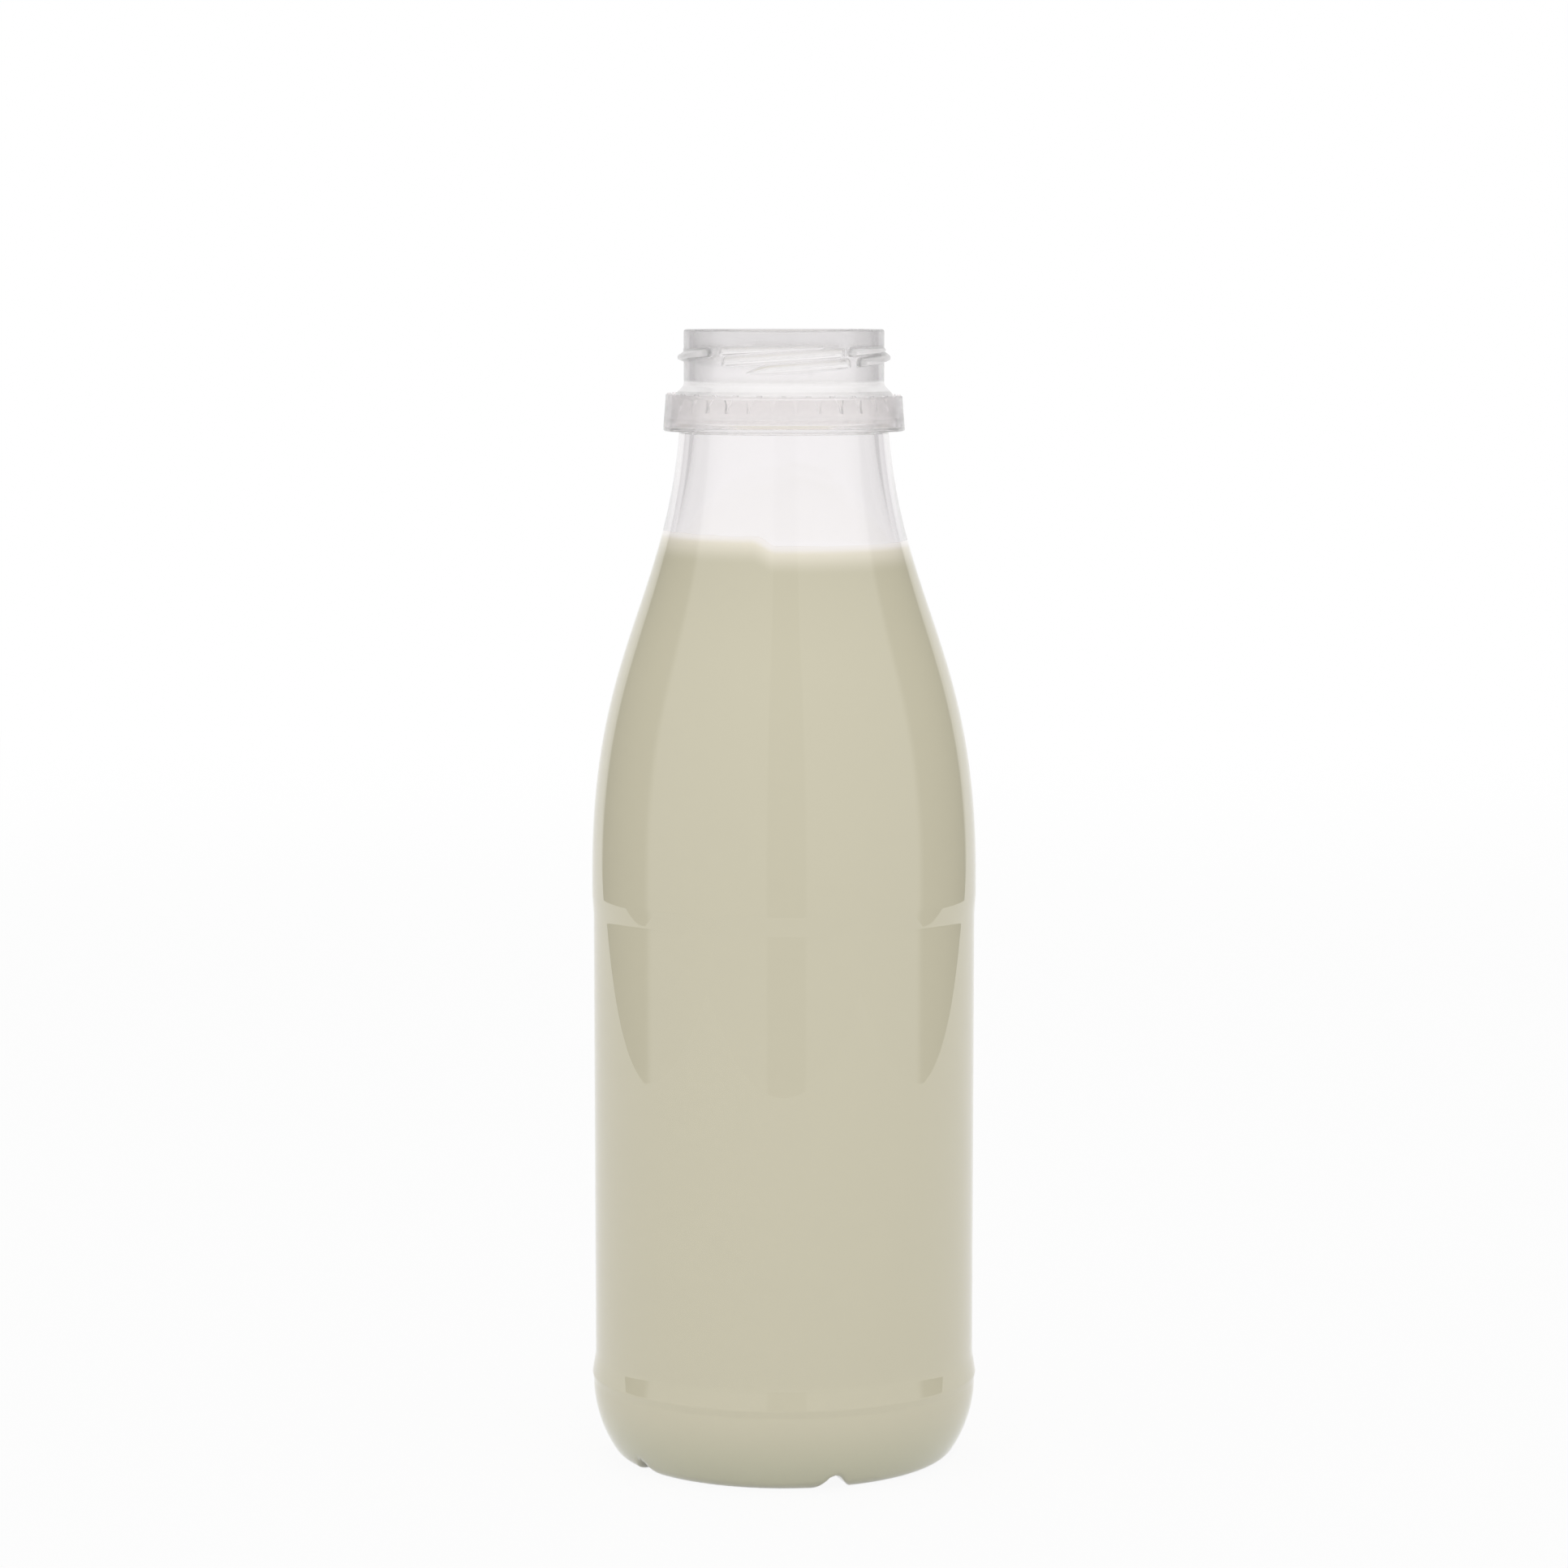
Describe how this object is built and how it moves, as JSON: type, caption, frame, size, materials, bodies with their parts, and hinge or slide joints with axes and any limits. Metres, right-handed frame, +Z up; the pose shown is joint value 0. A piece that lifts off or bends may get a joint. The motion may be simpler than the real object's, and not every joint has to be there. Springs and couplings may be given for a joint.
{
  "type": "milk bottle",
  "caption": "Round clear plastic milk bottle, filled, with an open screw neck, its tamper ring, a recessed label panel and a grooved base.",
  "frame": {"origin": "centre of the base, on the plane that the bottle stands on", "axes": "+Z up along the bottle's axis, -Y towards the viewer, +X to the viewer's right"},
  "size_m": [0.0684, 0.0684, 0.2],
  "materials": {
    "pet": "clear, glossy",
    "milk": "opaque liquid",
    "ring_plastic": "natural, slightly milky"
  },
  "bodies": {
    "root": {"bottle": "pet", "milk": "milk", "tamper_ring": "ring_plastic"}
  },
  "joints": []
}
